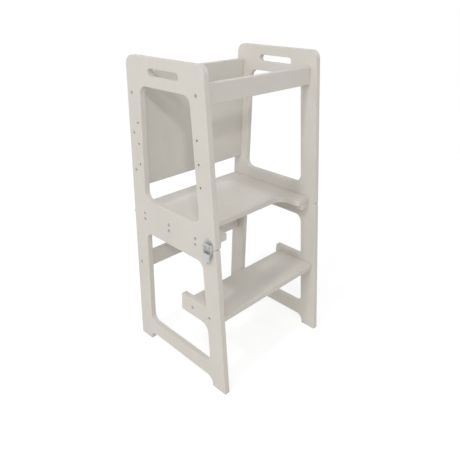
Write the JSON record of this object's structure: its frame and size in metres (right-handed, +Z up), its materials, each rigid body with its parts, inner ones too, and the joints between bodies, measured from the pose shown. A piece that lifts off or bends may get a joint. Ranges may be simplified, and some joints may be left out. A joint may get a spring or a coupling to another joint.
{
  "type": "toddler kitchen helper stool",
  "caption": "Tall painted step tower for a child: two framed sides, step, railed standing platform, back panel; the upper half folds over at the back into a table.",
  "frame": {"origin": "on the floor, in the middle of the whole outline from left to right and from front to back", "axes": "+Z up, -Y to the front (the step's side), +X to the right of the tower seen from its front"},
  "size_m": [0.4838, 0.4054, 0.9144],
  "materials": {
    "painted_board": "satin off-white paint",
    "screw_steel": "zinc-plated",
    "latch_steel": "bright nickel-plated",
    "hinge_steel": "satin nickel-plated",
    "dowel": "bare beech"
  },
  "bodies": {
    "lower_frame": {"lower_side_left": "painted_board", "lower_side_right": "painted_board", "cleat_left": "painted_board", "cleat_right": "painted_board", "step_board": "painted_board", "back_slat": "painted_board", "cleat_screws": "screw_steel", "step_screws": "screw_steel", "slat_screws": "screw_steel", "slat_dowels": "dowel", "latch_base_left": "latch_steel", "latch_base_right": "latch_steel", "latch_pin_left": "latch_steel", "latch_pin_right": "latch_steel", "latch_base_screws": "latch_steel", "hinge_lower_leaf_left": "hinge_steel", "hinge_lower_leaf_right": "hinge_steel", "hinge_pin_left": "hinge_steel", "hinge_pin_right": "hinge_steel", "hinge_lower_screws": "hinge_steel"},
    "upper_frame": {"upper_side_left": "painted_board", "upper_side_right": "painted_board", "platform": "painted_board", "back_panel": "painted_board", "front_rail": "painted_board", "platform_screws": "screw_steel", "panel_screws": "screw_steel", "rail_screws": "screw_steel", "rail_dowels": "dowel", "latch_catch_left": "latch_steel", "latch_catch_right": "latch_steel", "latch_catch_screws": "latch_steel", "hinge_upper_leaf_left": "hinge_steel", "hinge_upper_leaf_right": "hinge_steel", "hinge_upper_screws": "hinge_steel"},
    "lever_left": {"latch_lever_left": "latch_steel"},
    "lever_right": {"latch_lever_right": "latch_steel"},
    "bail_left": {"latch_bail_left": "latch_steel"},
    "bail_right": {"latch_bail_right": "latch_steel"}
  },
  "joints": [
    {"name": "fold", "type": "hinge", "parent": "lower_frame", "child": "upper_frame", "pos_m": [0, 0.19955, 0.4572], "axis": [-1, 0, 0], "range_deg": [0, 180]},
    {"name": "latch_lever_left_turn", "type": "hinge", "parent": "lower_frame", "child": "lever_left", "pos_m": [-0.2346, -0.12735, 0.4422], "axis": [0, 1, 0], "range_deg": [0, 75]},
    {"name": "latch_bail_left_turn", "type": "hinge", "parent": "lever_left", "child": "bail_left", "pos_m": [-0.2331, -0.12735, 0.4325], "axis": [0, 1, 0], "range_deg": [-57.75, 0]},
    {"name": "latch_lever_right_turn", "type": "hinge", "parent": "lower_frame", "child": "lever_right", "pos_m": [0.2346, -0.12735, 0.4422], "axis": [0, -1, 0], "range_deg": [0, 75]},
    {"name": "latch_bail_right_turn", "type": "hinge", "parent": "lever_right", "child": "bail_right", "pos_m": [0.2331, -0.12735, 0.4325], "axis": [0, -1, 0], "range_deg": [-57.75, 0]}
  ],
  "couplings": [
    {"joint": "latch_bail_left_turn", "follows": "latch_lever_left_turn", "ratio": -0.77},
    {"joint": "latch_bail_right_turn", "follows": "latch_lever_right_turn", "ratio": -0.77}
  ]
}
